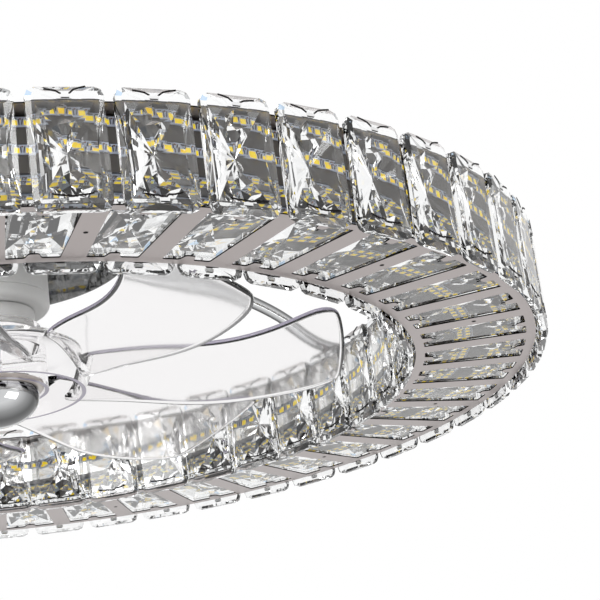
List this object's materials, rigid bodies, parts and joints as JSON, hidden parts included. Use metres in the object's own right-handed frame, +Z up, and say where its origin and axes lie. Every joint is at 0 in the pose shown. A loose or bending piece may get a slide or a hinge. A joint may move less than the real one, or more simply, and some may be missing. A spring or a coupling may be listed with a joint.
{
  "type": "crystal ceiling fan",
  "caption": "Low ceiling light with a ring of clear star-cut crystals round a clear petal fan, hung on curved chrome arms from a round canopy.",
  "frame": {"origin": "on the ceiling, in the middle of the fixing bracket's top face, on the fan's axis", "axes": "+Z up along the fan's axis, -Y towards the viewer of the picture, +X to the right"},
  "size_m": [0.5474, 0.5468, 0.115],
  "materials": {
    "crystal": "polished clear crystal",
    "polished_plate": "polished, slightly warm grey",
    "mirror_chrome": "mirror",
    "grey_paint": "satin light grey",
    "core_metal": "dark satin",
    "zinc_steel": "zinc plated",
    "bearing_steel": "ground",
    "strip_board": "white light strip",
    "white_plastic": "plain",
    "copper": "enamelled wire",
    "dark_iron": "dark",
    "clear_plastic": "clear moulding",
    "beige_ring": "pale beige"
  },
  "bodies": {
    "frame": {"ceiling_bracket": "zinc_steel", "canopy_shell": "mirror_chrome", "canopy_screw_1": "mirror_chrome", "canopy_screw_2": "mirror_chrome", "light_driver": "white_plastic", "fan_controller": "white_plastic", "terminal_block": "white_plastic", "motor_housing": "grey_paint", "motor_cover": "grey_paint", "bearing_upper": "bearing_steel", "bearing_lower": "bearing_steel", "stator_core": "dark_iron", "stator_winding": "copper", "motor_screw_1": "zinc_steel", "motor_screw_2": "zinc_steel", "motor_screw_3": "zinc_steel", "arm_rod_1": "mirror_chrome", "arm_rod_2": "mirror_chrome", "arm_rod_3": "mirror_chrome", "arm_nut_1": "zinc_steel", "arm_nut_2": "zinc_steel", "arm_nut_3": "zinc_steel", "arm_foot_1": "mirror_chrome", "arm_foot_2": "mirror_chrome", "arm_foot_3": "mirror_chrome", "foot_screw_1a": "zinc_steel", "foot_screw_1b": "zinc_steel", "foot_screw_2a": "zinc_steel", "foot_screw_2b": "zinc_steel", "foot_screw_3a": "zinc_steel", "foot_screw_3b": "zinc_steel", "top_plate_and_crystals": "crystal", "bottom_plate_and_crystals": "polished_plate", "core_channel": "core_metal", "led_strip_outer_lower": "strip_board", "led_strip_outer_upper": "strip_board", "led_strip_inner": "strip_board", "led_strip_floor": "strip_board"},
    "fan_rotor": {"motor_shaft": "bearing_steel", "rotor_magnet": "dark_iron", "rotor_boss": "grey_paint", "impeller": "clear_plastic", "cap_washer": "beige_ring", "hub_cap": "mirror_chrome"}
  },
  "joints": [
    {"name": "fan_spin", "type": "hinge", "parent": "frame", "child": "fan_rotor", "pos_m": [0, 0, -0.085], "axis": [0, 0, 1], "continuous": true}
  ]
}
